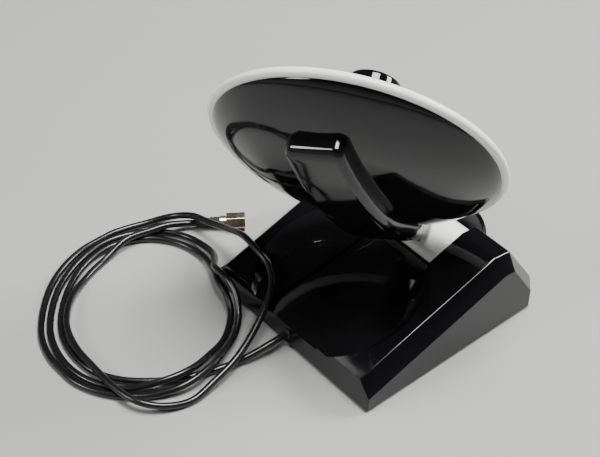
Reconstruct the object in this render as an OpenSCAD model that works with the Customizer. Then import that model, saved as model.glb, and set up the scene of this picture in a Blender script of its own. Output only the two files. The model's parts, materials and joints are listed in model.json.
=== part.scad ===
// Directional wireless antenna: a dish on a two-axis hinge, a wedge base and a coiled lead.
// Millimetres, +Z up. The origin is on the table, under the middle of the base's footprint.
// The hinge axis runs along X, the low front edge of the base faces -Y.

/* [Base] */
// Width of the base across its sides
base_w = 110; // [104:1:124]
// Depth of the base at its sides
base_d = 104; // [100:1:116]
// Height of the sloping top at its front edge, above the underside
front_h = 15.4; // [14.5:0.1:17]
// Height of the ridge at the back of the sloping top
ridge_h = 39.4; // [38:0.1:42]
// Distance from the underside's front edge to the ridge
ridge_run = 84.3; // [82:0.1:86]
// Depth of the narrow top of the ridge
ridge_d = 8.9; // [7:0.1:11]
// Fall of the narrow top towards the back
ridge_fall = 1.2; // [0.5:0.1:2]
// Width of the bevel along each side
bevel_w = 6.5; // [5:0.1:8]
// Height of the bevel along each side
bevel_h = 7.8; // [6:0.1:9]
// Bulge of the back behind the side faces
back_bulge = 6.3; // [5:0.1:8]
// Height of the upright part of the back
back_h = 11.1; // [9:0.1:13]
// Wall of the base moulding
base_wall = 2.2; // [1.8:0.1:2.6]
// Thickness of the bottom plate
plate_t = 2; // [1.6:0.1:2.4]
// Gap round the bottom plate
plate_gap = 0.2; // [0.1:0.05:0.3]

/* [Recess for the folded dish] */
// Radius of the round recess's concave wall
recess_r = 51.5; // [50:0.1:53]
// Distance of the wall's centre behind the base's front edge
recess_run = 23; // [21:0.1:25]
// Height of the wall's centre above the underside
recess_h = 51; // [50:0.1:52]
// Height of the recess's floor at the front edge
floor_h = 12; // [11.5:0.1:12.5]
// Rise of the recess's floor per unit of depth
floor_rise = 0.1; // [0.08:0.01:0.12]
// Width of the sunk channel for the arm
channel_w = 37; // [32:1:40]
// Depth of the sunk channel below the floor
channel_depth = 1.4; // [1:0.1:1.8]

/* [Feet and weight] */
// Height of the base's underside above the table
foot_h = 1; // [0.8:0.1:2]
// Radius of a rubber foot
foot_r = 6; // [5:0.1:7]
// Depth of a foot's seat in the bottom plate
foot_seat = 0.8; // [0.5:0.1:1]
// Distance of a foot's centre from the sides
foot_in = 12; // [10:0.5:16]
// Width of the steel weight
weight_w = 52; // [40:1:58]
// Depth of the steel weight
weight_d = 36; // [30:1:40]
// Thickness of the steel weight
weight_t = 4; // [3:0.1:4.4]

/* [Hinge] */
// Distance of the hinge axis behind the base's front edge
hinge_run = 85.5; // [84.5:0.1:86]
// Height of the hinge axis above the underside
hinge_h = 23.5; // [23:0.1:24]
// Radius of the barrel
barrel_r = 12; // [11.5:0.1:12.4]
// Width of the trough between the shoulders
trough_w = 52.6; // [50:0.1:54]
// Radial room round the barrel in the trough
trough_gap = 1.6; // [1.4:0.1:2]
// Thickness of a friction washer
washer_t = 0.5; // [0.3:0.1:0.8]
// Sideways play of the barrel at each washer
washer_gap = 0.05; // [0.02:0.01:0.1]
// Radius of a hinge pin
pin_r = 4; // [3.5:0.1:4.5]
// Running clearance of the pins, on the radius
pin_gap = 0.05; // [0.02:0.01:0.08]
// Length of a hinge pin inside the barrel
pin_in = 11; // [9:0.1:12]
// Length of a hinge pin inside the shoulder
pin_out = 11; // [9:0.1:12]
// Thickness of the rear cover
cover_t = 2.5; // [2:0.1:3]
// Height of the rear cover above the underside
cover_h = 39.3; // [38:0.1:40]
// Radius of the rear cover's top corners
cover_r = 12.4; // [10:0.1:14]

/* [Swivel] */
// Radius of the swivel pin
swivel_r = 6; // [5:0.1:6.2]
// Distance of the pocket's floor from the hinge axis
pocket_u = 7; // [6.5:0.1:7.5]
// Width of the pocket in the barrel
pocket_w = 17.6; // [16.6:0.1:20]
// Distance of the arm's root from the hinge axis
root_u = 13; // [12.6:0.1:13.6]

/* [Dish] */
// Outer radius of the dish
dish_r = 68; // [66:0.1:70]
// Distance of the dish's centre from the hinge axis, along the arm
arm_reach = 91; // [90.6:0.1:92.5]
// Distance of the rim's plane behind the hinge axis
rim_back = 5.9; // [5.5:0.1:6.3]
// Radial width of the rim bead
bead_w = 3.1; // [2.6:0.1:3.6]
// Height of the rim bead
bead_h = 4.6; // [4:0.1:5.2]
// Depth of the black bowl behind the rim's plane
bowl_depth = 20.5; // [19.5:0.1:21.5]
// Wall of the bowl
bowl_wall = 1.8; // [1.5:0.1:2]
// Depth of the white face behind the rim's plane
face_depth = 13; // [12.5:0.1:13.5]
// Wall of the white face
face_wall = 1.6; // [1.4:0.1:1.8]
// Thickness of the metal reflector
reflector_t = 0.6; // [0.4:0.1:0.8]
// Width of the arm
arm_w = 28; // [26:0.5:30]
// Length of the arm beyond the dish's centre
arm_over = 40; // [36:0.5:44]
// Height of the arm behind the bowl
arm_h = 6.5; // [6:0.1:7.5]
// Wall of the arm
arm_wall = 2; // [1.6:0.1:2.4]
// Width of the arm at its root
root_w = 19; // [17:0.5:22]

/* [Feed] */
// Radius of the feed housing
feed_r = 12.5; // [11.5:0.1:13.5]
// Reach of the feed housing in front of the rim's plane
feed_reach = 34; // [32:0.5:36]
// Height of the feed housing
feed_h = 24; // [20:0.5:28]
// Wall of the feed housing
feed_wall = 1.5; // [1.2:0.1:1.8]
// Radius of the feed mast
mast_r = 4; // [3.6:0.1:5]

/* [Pose in the photograph] */
// Tilt of the arm above the table
dish_tilt = 61.6; // [60:0.1:66]
// Swivel of the dish about the arm
dish_swivel = 30; // [0:1:32]

/* [Lead] */
// Diameter of the lead
lead_d = 3.4; // [3:0.1:3.6]
// Diameter of the coaxial lead inside the dish
coax_d = 2; // [1.8:0.1:2.4]
// Sideways place of the lead's hole in the front wall
exit_x = -2; // [-6:0.5:4]
// Height of the lead's hole above the underside
exit_h = 5.3; // [5:0.1:5.6]
// Width of the plug's nut across its flats
nut_af = 8; // [7:0.1:9]
// Length of the plug's nut
nut_l = 9.5; // [8:0.1:11]

/* [Hidden] */

$fn = 96;
front_y = -base_d / 2;
ridge_y = front_y + ridge_run;
hinge_y = front_y + hinge_run;
recess_y = front_y + recess_run;
front_lean = 1.5;
side_lean = 1.2;
trough_r = barrel_r + trough_gap;
cover_y = hinge_y + trough_r + 0.4;
barrel_half = trough_w / 2 - washer_t - washer_gap;
foot_dx = base_w / 2 - foot_in;
foot_dy = base_d / 2 - foot_in;
screw_x = base_w / 2 - 8;
screw_ys = [-30, 20];
screw_r = 1.4;
head_r = 2.8;
head_t = 1.2;
pad_r = 2.4;
pad_x = 1;
boss_r = 3.6;
weight_y = -20;
weight_screw_x = weight_w / 2 - 6;
cover_screw_x = 17;
cover_screw_h = 17;
lead_r = lead_d / 2;
coax_r = coax_d / 2;
bushing_r = 2.8;
bushing_front = 0.8;
exit_y = front_y + front_lean * exit_h / front_h - bushing_front;
exit_z = foot_h + exit_h;
chamber_x = 12.2;
chamber_n = 8.2;
chamber_u = 4;
washer_r = 8.1;
bowl_r = dish_r - bead_w - 0.4;
bowl_top = bead_h / 2;
bowl_sphere = (bowl_r * bowl_r + pow(bowl_depth - 1.9, 2)) / (2 * (bowl_depth - 1.9));
face_r = dish_r - bead_w - 0.9;
face_sphere = (face_r * face_r + pow(face_depth + 0.5, 2)) / (2 * (face_depth + 0.5));
reflector_gap = 0.15;
reflector_in = 2.4;
reflector_r = meet_r(bowl_sphere - bowl_wall, bowl_sphere - bowl_depth,
    face_sphere + face_wall + reflector_gap + reflector_t, face_sphere - face_depth) - reflector_in;
seat_z = -(face_depth + face_wall + reflector_gap + reflector_t);
spigot_r = 3;
feed_top = feed_reach;
feed_foot = feed_reach - feed_h;
board_at = feed_foot + 5;
board_t = 1.2;
element_at = feed_foot + 12;
element_t = 0.5;
element_hole = 3;
stand_x = 6;
stand_r = 0.8;
director_t = 0.8;
director_post = 1.4;
plug_at = [-90, -32.5];
plug_turn = 53;
sleeve_l = 8;
body_l = 3;
plug_z = nut_af / 2;
arm_end = arm_reach + arm_over;
root_n = -14;
root_l = 9.4;
bend_u = arm_reach - 46;
neck_u = arm_reach - 63;
join_u = arm_reach - 52;
crest_n = 6 - rim_back - bowl_depth - arm_h;
under_bead = -rim_back - bead_h / 2 - 0.5;

// Route of the lead on the table, over the corner of the base and back to its plug
lead_route = [[-2, -60, 6.3], [-4, -72, 4], [-8, -85, 1.8], [-13, -99, 1.7], [-21, -113, 1.7],
    [-32, -125, 1.7], [-45, -132, 1.7], [-60, -133, 1.7], [-75, -129, 1.7], [-89, -119, 1.7],
    [-100, -106, 1.7], [-107, -91, 1.7], [-108, -75, 1.7], [-101, -60, 1.7], [-88, -50, 1.7],
    [-73, -47, 2.5], [-61, -50, 5], [-50, -55.2, 8.5], [-40, -57.5, 7], [-31, -62, 3.5], [-22, -73, 1.7],
    [-17, -86, 3.4], [-14, -99, 5.5], [-17, -113, 5.1], [-27, -128, 1.7], [-42, -137, 1.7],
    [-59, -139, 1.7], [-77, -134, 1.7], [-93, -122, 1.7], [-104, -108, 1.7], [-111, -91, 1.7],
    [-112, -74, 1.7], [-105, -57, 1.7], [-91, -45, 1.7], [-76, -42.5, 3.5], [-64, -46, 8],
    [-53, -54, 14], [-42, -55.4, 15.6], [-33, -57, 12.5], [-25, -62, 7.5], [-18.5, -69.5, 5], [-13, -80, 5.3],
    [-9, -93, 5.5],
    [-9, -108, 4.5], [-17, -123, 1.8], [-29, -135, 1.7], [-44, -142, 1.7], [-61, -143, 1.7],
    [-79, -138, 1.7], [-96, -125, 1.7], [-108, -110, 1.7], [-115, -92, 1.7], [-116, -73, 1.7],
    [-111, -55, 1.8], [-104, -43, 4.6], [-94, -37, 8.6], [-83, -35, 11], [-70, -34, 15.5],
    [-57, -35, 21.5], [-49, -36, 23.2], [-41, -37, 22.8], [-32, -38, 21], [-24, -42, 18.6],
    [-18, -49, 16.2], [-13, -58, 13.2], [-8, -69, 9.8], [-4, -81, 7], [-2, -95, 4],
    [-1, -108, 1.9], [-5, -120, 3.4], [-14, -129, 5.3], [-28, -132, 5.3], [-44, -132, 5.3],
    [-60, -131, 5.3], [-75, -126, 5.3], [-88, -115, 4.6], [-97, -101, 1.9], [-102, -86, 1.7],
    [-104, -71, 5.4], [-102, -59, 5.4], [-99, -48, 5.3], [-94.2, -38.1, 4]];

// Geometry helpers: profiles, arcs, transforms
function bow(a, b, sag, n = 10) = [for (i = [0:n]) let (t = i / n)
    [a[0] + (b[0] - a[0]) * t - sag * (1 - pow(2 * t - 1, 2)), a[1] + (b[1] - a[1]) * t]];
function arc(c, r, from, to, n = 8) =
    [for (i = [0:n]) let (q = from + (to - from) * i / n) c + r * [cos(q), sin(q)]];
// Radius at which two spheres on one axis meet, from their radii and the heights of their centres
function meet_r(ra, za, rb, zb) =
    let (z = (ra * ra - rb * rb + zb * zb - za * za) / (2 * (zb - za))) sqrt(ra * ra - pow(z - za, 2));
function floor_at(y) = floor_h + floor_rise * (y - front_y - 1);
function footprint(in) = [
    [-base_w / 2 + in, front_y + in], [base_w / 2 - in, front_y + in],
    [base_w / 2 - in, -front_y - in / 2],
    [base_w / 2 - bevel_w - in / 2, -front_y + back_bulge - 0.6 - in],
    [-base_w / 2 + bevel_w + in / 2, -front_y + back_bulge - 0.6 - in],
    [-base_w / 2 + in, -front_y - in / 2]];

side_profile = [[front_y, 0], [front_y + side_lean, front_h - bevel_h],
    [ridge_y + 1.3, ridge_h - bevel_h], [ridge_y + ridge_d - 1.8, ridge_h - ridge_fall - bevel_h + 0.5],
    [-front_y + 0.5, back_h - 1.4], [-front_y, 0]];
middle_profile = [[front_y, 0], [front_y + front_lean, front_h], [ridge_y, ridge_h],
    [ridge_y + ridge_d, ridge_h - ridge_fall], [-front_y + back_bulge, back_h],
    [-front_y + back_bulge - 0.6, 0]];

module along_x(w) { rotate([90, 0, 90]) translate([0, 0, -w / 2]) linear_extrude(w) children(); }
module raised() { translate([0, 0, foot_h]) children(); }
module at_hinge() { translate([0, hinge_y, foot_h + hinge_h]) children(); }
module barrel_frame() { at_hinge() rotate([90 - dish_tilt, 0, 0]) children(); }
module arm_frame() { barrel_frame() rotate([0, 0, dish_swivel]) children(); }
module dish_frame() { arm_frame() translate([0, -rim_back, arm_reach]) rotate([-90, 0, 0]) children(); }
module x_rod(r, x0, x1) { translate([x0, 0, 0]) rotate([0, 90, 0]) cylinder(r = r, h = x1 - x0); }
module rod(r, z0, z1) { translate([0, 0, z0]) cylinder(r = r, h = z1 - z0); }
module plug_frame() { translate([plug_at[0], plug_at[1], plug_z]) rotate([0, 0, plug_turn]) children(); }
module mirrored(side) { if (side < 0) mirror([1, 0, 0]) children(); else children(); }

// A tube swept along points. No stretch of it may run along the direction called across.
function unit(v) = v / norm(v);
function tangent(p, i) = i == 0 ? unit(p[1] - p[0])
    : i == len(p) - 1 ? unit(p[i] - p[i - 1]) : unit(unit(p[i + 1] - p[i]) + unit(p[i] - p[i - 1]));
function ring(c, t, r, n, across) = let (s = unit(cross(across, t)), u = cross(t, s))
    [for (k = [0:n - 1]) c + r * (cos(360 * (k + 0.5) / n) * s + sin(360 * (k + 0.5) / n) * u)];
module swept_tube(p, r, across = [0, 0, 1], n = 8) {
    m = len(p);
    points = [for (i = [0:m - 1]) each ring(p[i], tangent(p, i), r, n, across)];
    sides = [for (i = [0:m - 2]) for (k = [0:n - 1])
        let (a = i * n + k, b = i * n + (k + 1) % n) each [[a, a + n, b], [b, a + n, b + n]]];
    ends = [[for (k = [0:n - 1]) k], [for (k = [n - 1:-1:0]) (m - 1) * n + k]];
    polyhedron(points, concat(ends, sides));
}

// Base
module base_outside() {
    hull() {
        along_x(base_w) polygon(side_profile);
        along_x(base_w - 2 * bevel_w) polygon(middle_profile);
    }
}
module base_inside() {
    hull() {
        along_x(base_w - 2 * base_wall) offset(delta = -base_wall) polygon(side_profile);
        along_x(base_w - 2 * bevel_w - base_wall) offset(delta = -base_wall) polygon(middle_profile);
    }
    translate([0, 0, -1]) linear_extrude(base_wall + 1.5) polygon(footprint(base_wall));
}
module recess_space(grow = 0) {
    intersection() {
        translate([0, recess_y, recess_h]) sphere(r = recess_r + grow, $fn = 120);
        along_x(base_w) polygon([[front_y - 9, floor_at(front_y - 9) - grow],
            [-front_y, floor_at(-front_y) - grow], [-front_y, recess_h], [front_y - 9, recess_h]]);
    }
    channel_end = hinge_y - 2;
    along_x(channel_w + 2 * grow) polygon([
        [front_y - 9, floor_at(front_y - 9) - channel_depth - grow],
        [channel_end, floor_at(channel_end) - channel_depth - grow],
        [channel_end, recess_h], [front_y - 9, recess_h]]);
}
module trough_space(grow = 0) {
    floor_y = recess_y + 36;
    translate([0, hinge_y, hinge_h]) x_rod(trough_r + grow, -trough_w / 2 - grow, trough_w / 2 + grow);
    along_x(trough_w + 2 * grow) polygon([[floor_y - grow, floor_at(floor_y) - grow],
        [hinge_y, floor_at(hinge_y) - grow], [hinge_y, hinge_h], [cover_y + grow, hinge_h],
        [cover_y + grow, recess_h], [floor_y - grow, recess_h]]);
}
module cover_shape(gap = 0) {
    half = trough_w / 2 - 0.3 + gap;
    foot = hinge_h - trough_r - 1;
    translate([0, cover_y + cover_t + gap, 0]) rotate([90, 0, 0]) linear_extrude(cover_t + 2 * gap)
        polygon(concat([[-half, foot - gap], [half, foot - gap]],
            arc([half - cover_r, cover_h - cover_r], cover_r + gap, 0, 90, 16),
            arc([cover_r - half, cover_h - cover_r], cover_r + gap, 90, 180, 16)));
}
module cover_screw_places() {
    for (s = [-1, 1]) translate([s * cover_screw_x, cover_y, cover_screw_h]) rotate([-90, 0, 0]) children();
}
module base_screw_places() { for (s = [-1, 1], y = screw_ys) translate([s * screw_x, y, 0]) children(); }
module weight_screw_places() { for (s = [-1, 1]) translate([s * weight_screw_x, weight_y, 0]) children(); }
module pin_boss() {
    translate([0, hinge_y, hinge_h]) for (s = [-1, 1]) mirrored(s)
        x_rod(pin_r + 3, trough_w / 2, trough_w / 2 + pin_out);
}
module pad_place() { translate([pad_x, front_y + pad_r + 0.3, foot_h]) children(); }
module base_top_shell() {
    color("#0b0b0c") raised() difference() {
        base_outside();
        difference() {
            base_inside();
            recess_space(base_wall);
            trough_space(base_wall);
            pin_boss();
            base_screw_places() rod(boss_r, plate_t, ridge_h);
            translate([0, cover_y - base_wall, 0]) along_x(trough_w + 2 * base_wall)
                polygon([[0, hinge_h - trough_r - 3], [cover_t + 3 * base_wall, hinge_h - trough_r - 3],
                    [cover_t + 3 * base_wall, ridge_h], [0, ridge_h]]);
        }
        recess_space();
        trough_space();
        cover_shape(0.1);
        translate([0, hinge_y, hinge_h]) x_rod(pin_r, -base_w / 2 + 12, base_w / 2 - 12);
        base_screw_places() rod(screw_r, 0, 12);
        cover_screw_places() rod(screw_r, 0, cover_t + 2.2);
        translate([exit_x, front_y - 1, exit_h]) rotate([-90, 0, 0]) cylinder(r = bushing_r, h = 8);
        translate([0, 0, -foot_h]) pad_place() rod(pad_r, -1, foot_seat);
    }
}
module base_bottom_plate() {
    color("#111113") raised() difference() {
        union() {
            linear_extrude(plate_t) polygon(footprint(base_wall + plate_gap));
            weight_screw_places() rod(1.6, plate_t, plate_t + weight_t);
        }
        for (sx = [-1, 1], sy = [-1, 1]) translate([sx * foot_dx, sy * foot_dy, -1])
            cylinder(r = foot_r, h = foot_seat + 1);
        translate([0, 0, -foot_h]) pad_place() rod(pad_r, -1, foot_seat);
        base_screw_places() rod(screw_r, -1, plate_t + 1);
        base_screw_places() rod(head_r, -1, head_t);
        weight_screw_places() rod(0.9, -1, plate_t + weight_t + 1);
    }
}
module base_screws() {
    color("#8d8f92") raised() base_screw_places() difference() {
        union() {
            rod(head_r, 0.2, head_t);
            rod(screw_r, head_t, 11.5);
        }
        for (q = [0, 90]) rotate(q) translate([-1.6, -0.3, 0]) cube([3.2, 0.6, 0.8]);
    }
}
module rubber_feet() {
    color("#1a1a1a") for (sx = [-1, 1], sy = [-1, 1]) translate([sx * foot_dx, sy * foot_dy, 0]) {
        rod(foot_r - 0.6, 0, 0.6);
        rod(foot_r, 0.6, foot_h + foot_seat);
    }
}
module front_pad() {
    color("#1a1a1a") pad_place() rod(pad_r, -foot_h, foot_seat);
}
module steel_weight() {
    color("#9a9c9f") raised() translate([0, 0, plate_t]) difference() {
        translate([-weight_w / 2, weight_y - weight_d / 2, 0]) cube([weight_w, weight_d, weight_t]);
        weight_screw_places() rod(1.6, -1, weight_t + 1);
    }
}
module weight_screws() {
    color("#8d8f92") raised() weight_screw_places() {
        rod(3, plate_t + weight_t, plate_t + weight_t + 0.8);
        rod(0.9, 0.2, plate_t + weight_t);
    }
}
module hinge_rear_cover() {
    color("#0b0b0c") raised() difference() {
        cover_shape();
        cover_screw_places() rod(screw_r, -1, cover_t + 1);
        cover_screw_places() rod(head_r, -1, head_t);
    }
}
module cover_screws() {
    color("#8d8f92") raised() cover_screw_places() {
        rod(head_r, 0.1, head_t);
        rod(screw_r, head_t, cover_t + 2);
    }
}
module lead_bushing() {
    tube_l = 6;
    flange_at = bushing_front + base_wall + 0.5;
    head_room = floor_at(exit_y + flange_at) - channel_depth - base_wall - 0.2 - exit_h;
    color("#151515") translate([exit_x, exit_y, exit_z]) rotate([-90, 0, 0]) difference() {
        union() {
            rod(bushing_r, 0, tube_l);
            rod(bushing_r + 1.1, flange_at, flange_at + 1.1);
        }
        rod(lead_r, -1, tube_l + 1);
        translate([-lead_d * 2, exit_h - plate_t - 0.1, -1]) cube([lead_d * 4, lead_d, tube_l + 2]);
        translate([-lead_d * 2, -head_room - lead_d, -1]) cube([lead_d * 4, lead_d, tube_l + 2]);
    }
}

// Hinge
module hinge_pin(side) {
    inner = trough_w / 2 - pin_in;
    outer = trough_w / 2 + pin_out;
    color("#a7a9ac") at_hinge() mirrored(side) difference() {
        union() {
            x_rod(pin_r, inner, outer);
            x_rod(pin_r + 2.5, outer, outer + 1.4);
        }
        x_rod(lead_r, inner - 1, outer + 3);
    }
}
module hinge_pin_left() { hinge_pin(-1); }
module hinge_pin_right() { hinge_pin(1); }
module washer(side) {
    color("#d8d6cc") at_hinge() mirrored(side) difference() {
        x_rod(barrel_r - 2.5, barrel_half + washer_gap, trough_w / 2);
        x_rod(pin_r, 0, trough_w);
    }
}
module washer_left() { washer(-1); }
module washer_right() { washer(1); }
module base_coax() {
    pin_end = -trough_w / 2 - pin_out;
    run_x = pin_end - 2.7;
    turn_x = pin_end - 7;
    axis_z = foot_h + hinge_h;
    color("#101010") swept_tube([[exit_x, exit_y, exit_z], [exit_x, exit_y + 5, exit_z],
        [exit_x - 1, exit_y + 8, exit_z], [exit_x - 5, exit_y + 9.5, exit_z],
        [run_x + 8, exit_y + 9.5, exit_z], [run_x + 2, exit_y + 12, exit_z], [run_x, exit_y + 18, exit_z],
        [run_x, hinge_y - 12, exit_z + 1.5], [run_x - 1.5, hinge_y - 7.5, exit_z + 3.5],
        [turn_x + 0.8, hinge_y - 3.5, exit_z + 7.5], [turn_x, hinge_y - 1, axis_z - 5.7],
        [turn_x + 0.8, hinge_y - 0.1, axis_z - 1.8], [turn_x + 3.3, hinge_y, axis_z],
        [pin_end + 1, hinge_y, axis_z], [-trough_w / 2 + pin_in - 0.5, hinge_y, axis_z]],
        lead_r - 0.1, [0.5, -0.5, 0.7]);
}
module hinge_barrel() {
    color("#f1efe8") barrel_frame() difference() {
        x_rod(barrel_r, -barrel_half, barrel_half);
        translate([-pocket_w / 2, -chamber_n - 0.1, pocket_u]) cube([pocket_w, 2 * chamber_n + 0.2, barrel_r]);
        rod(swivel_r + pin_gap, 0, barrel_r);
        translate([-chamber_x, -chamber_n, -barrel_r - 1])
            cube([2 * chamber_x, 2 * chamber_n, barrel_r + 1 + chamber_u]);
        for (s = [-1, 1]) mirrored(s) x_rod(pin_r + pin_gap, chamber_x - 1, barrel_half + 1);
    }
}
module barrel_cap() {
    cap_t = 3.2;
    color("#f1efe8") barrel_frame() intersection() {
        x_rod(barrel_r, -barrel_half, barrel_half);
        translate([0.15 - chamber_x, 0.15 - chamber_n, -barrel_r - 1])
            cube([2 * chamber_x - 0.3, 2 * chamber_n - 0.3, cap_t + 1]);
    }
}
module swivel_washer() {
    color("#d8d6cc") barrel_frame() difference() {
        rod(washer_r, pocket_u, pocket_u + 0.8);
        rod(swivel_r + pin_gap, 0, barrel_r);
    }
}

// Dish
module cap_solid(r_sphere, r_edge, depth, top) {
    intersection() {
        translate([0, 0, r_sphere - depth]) sphere(r = r_sphere, $fn = 160);
        rod(r_edge, -depth - 1, top);
    }
}
module arm_solid() {
    round_n = root_n + 3;
    intersection() {
        along_x(arm_w + 2) polygon(concat(
            [[round_n, root_u], [root_n, root_u + 3], [root_n - 2.6, root_u + root_l], [crest_n + 1.5, bend_u - 3]],
            bow([crest_n, bend_u + 1], [crest_n, arm_end - 3], 6),
            [[crest_n + 1.2, arm_end - 0.8], [crest_n + 3, arm_end], [-rim_back - 7, arm_end],
                [-rim_back - 7, join_u], [under_bead, neck_u], [under_bead, root_u + root_l],
                [0, root_u + root_l], [0, root_u]]));
        arm_plan(0);
    }
}
module arm_hollow() {
    intersection() {
        along_x(arm_w) polygon(concat(
            [[root_n - 2.6 + arm_wall, root_u + 12], [crest_n + 1.5 + arm_wall, bend_u - 3]],
            bow([crest_n + arm_wall, bend_u + 1], [crest_n + arm_wall, arm_end - 3 - arm_wall], 6),
            [[crest_n + 3 + arm_wall, arm_end - arm_wall], [-rim_back - 7, arm_end - arm_wall],
                [-rim_back - 7, join_u], [under_bead - arm_wall, neck_u],
                [under_bead - arm_wall, root_u + 12]]));
        arm_plan(arm_wall);
    }
}
module arm_plan(in) {
    end_u = arm_end - in;
    half = arm_w / 2 - in;
    root_half = root_w / 2 - in;
    corner = 6 - in;
    rotate([90, 0, 0]) translate([0, 0, -5]) linear_extrude(60) polygon(concat(
        [[root_half, root_u - 1], [root_half, root_u + 5], [half, root_u + 22]],
        arc([half - corner, end_u - corner], corner, 0, 90),
        arc([corner - half, end_u - corner], corner, 90, 180),
        [[-half, root_u + 22], [-root_half, root_u + 5], [-root_half, root_u - 1]]));
}
module dish_back_shell() {
    color("#0b0b0c") difference() {
        union() {
            dish_frame() cap_solid(bowl_sphere, bowl_r, bowl_depth, -bowl_top);
            arm_frame() arm_solid();
            arm_frame() rod(swivel_r + 2, root_u, root_u + root_l);
        }
        difference() {
            dish_frame() cap_solid(bowl_sphere - bowl_wall, bowl_r - bowl_wall, bowl_depth - bowl_wall, 4);
            dish_frame() rod(spigot_r + 2.5, -bowl_depth, seat_z);
        }
        dish_frame() cap_solid(face_sphere + face_wall + reflector_gap, dish_r, face_depth + face_wall + reflector_gap, 4);
        difference() {
            arm_frame() arm_hollow();
            dish_frame() cap_solid(bowl_sphere, bowl_r, bowl_depth, 0);
        }
        dish_frame() rod(coax_r + 0.4, -bowl_depth - 1, 0);
        arm_frame() rod(swivel_r, root_u - 1, root_u + 6);
        arm_frame() translate([0, 0, root_u + 5]) rod(coax_r + 0.4, 0, 3);
        arm_frame() translate([0, 0, root_u + 7]) rotate([90, 0, 0]) rod(coax_r + 0.4, 0, 12);
        arm_frame() translate([0, -11.5, root_u + 7]) rod(coax_r + 0.4, 0, 6);
        arm_frame() translate([0, 0, root_u + 3]) x_rod(1, -root_w, root_w);
        dish_frame() rod(spigot_r, -bowl_depth + bowl_wall, 0);
    }
}
module dish_front_shell() {
    color("#f4f2ec") dish_frame() difference() {
        union() {
            difference() {
                cap_solid(face_sphere + face_wall, face_r, face_depth + face_wall, 0.6);
                cap_solid(face_sphere, face_r + 1, face_depth, 4);
            }
            rotate_extrude($fn = 144) polygon(concat([[face_r - 0.6, -bead_h / 2], [dish_r - 2.4, -bead_h / 2]],
                [for (q = [-80:20:80]) [dish_r - 2.4 + 2.4 * cos(q), bead_h / 2 * sin(q)]],
                [[dish_r - 2.4, bead_h / 2], [face_r - 0.6, bead_h / 2 - 1.2]]));
        }
        rod(mast_r - 0.8, -face_depth - 5, 0);
    }
}
module reflector() {
    out = face_sphere + face_wall + reflector_gap;
    depth = face_depth + face_wall + reflector_gap;
    color("#c9ccd0") dish_frame() difference() {
        cap_solid(out + reflector_t, reflector_r, depth + reflector_t, 0);
        cap_solid(out, reflector_r + 1, depth, 1);
        rod(mast_r - 0.8, -depth - 5, 0);
    }
}
module swivel_pin() {
    color("#a7a9ac") arm_frame() difference() {
        union() {
            rod(swivel_r, 1.2, root_u + 6);
            rod(washer_r - 0.2, pocket_u + 0.85, root_u - 1.4);
            rod(swivel_r + 1.2, root_u - 1.4, root_u);
        }
        rod(coax_r + 0.4, 0, root_u + 7);
        translate([0, 0, root_u + 3]) x_rod(1, -root_w, root_w);
        difference() {
            rod(swivel_r + 1, 2.4, 3.9);
            rod(swivel_r - 0.7, 0, 5);
        }
    }
}
module swivel_ring() {
    color("#8d8f92") arm_frame() difference() {
        rod(swivel_r + 1.6, 2.45, 3.85);
        rod(swivel_r - 0.7, 0, 5);
    }
}
module root_screws() {
    color("#8d8f92") arm_frame() translate([0, 0, root_u + 3]) for (s = [-1, 1]) mirrored(s)
        x_rod(1, coax_r + 1, root_w / 2 - 0.5);
}

// Feed
module feed_mast() {
    color("#1b1b1c") dish_frame() difference() {
        union() {
            rod(spigot_r, -bowl_depth + bowl_wall + 0.2, -face_depth + 0.06);
            rod(mast_r, -face_depth + 0.06, feed_foot + 3);
            rod(mast_r + 3, -face_depth + 0.2, -face_depth + 2);
            rod(feed_r - feed_wall - 0.1, feed_foot + 0.2, feed_foot + 2);
            rod(mast_r + 2, feed_foot + 2, board_at);
        }
        rod(coax_r + 0.2, -bowl_depth, board_at + 1);
    }
}
module feed_housing() {
    round_r = 2;
    color("#0e0e0f") dish_frame() rotate_extrude($fn = 96) polygon(concat(
        [[feed_r - feed_wall, feed_foot], [feed_r, feed_foot]],
        arc([feed_r - round_r, feed_top - round_r], round_r, 0, 90, 6),
        [[0, feed_top], [0, feed_top - feed_wall], [feed_r - feed_wall, feed_top - feed_wall]]));
}
module feed_board() {
    color("#2f6b3c") dish_frame() difference() {
        rod(feed_r - feed_wall - 0.4, board_at, board_at + board_t);
        rod(coax_r + 0.2, board_at - 1, board_at + board_t + 1);
    }
}
module feed_element() {
    color("#b8763a") dish_frame() difference() {
        union() {
            rod(feed_r - feed_wall - 1.5, element_at, element_at + element_t);
            for (s = [-1, 1]) translate([s * stand_x, 0, 0]) rod(stand_r, board_at + board_t, element_at);
        }
        translate([-0.6, -feed_r, element_at - 0.1]) cube([1.2, 2 * feed_r, element_t + 0.2]);
        rod(element_hole, element_at - 1, element_at + element_t + 1);
    }
}
module feed_director() {
    color("#c9ccd0") dish_frame() {
        rod(feed_r - feed_wall - 0.6, feed_top - feed_wall - director_t, feed_top - feed_wall);
        rod(director_post, element_at + element_t + 1, feed_top - feed_wall - director_t);
    }
}
module dish_coax() {
    u_top = root_u + 7;
    bowl_n = -rim_back - bowl_depth;
    color("#101010") {
        arm_frame() swept_tube([[0, 0, 1.3], [0, 0, root_u + 4.5], [0, -0.6, u_top - 0.9], [0, -2, u_top],
            [0, -9.6, u_top], [0, -11, u_top + 0.9], [0, -11.5, u_top + 3], [0, -13.5, u_top + 9],
            [0, bowl_n + 4.9, bend_u + 1], [0, bowl_n + 1, bend_u + 15], [0, bowl_n - 1.8, arm_reach - 14],
            [0, bowl_n - 2.4, arm_reach - 5], [0, bowl_n - 2, arm_reach - 2],
            [0, bowl_n - 1.2, arm_reach - 0.6], [0, bowl_n + 0.6, arm_reach],
            [0, board_at + board_t - rim_back, arm_reach]], coax_r - 0.05, [1, 0, 0]);
    }
}

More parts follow.
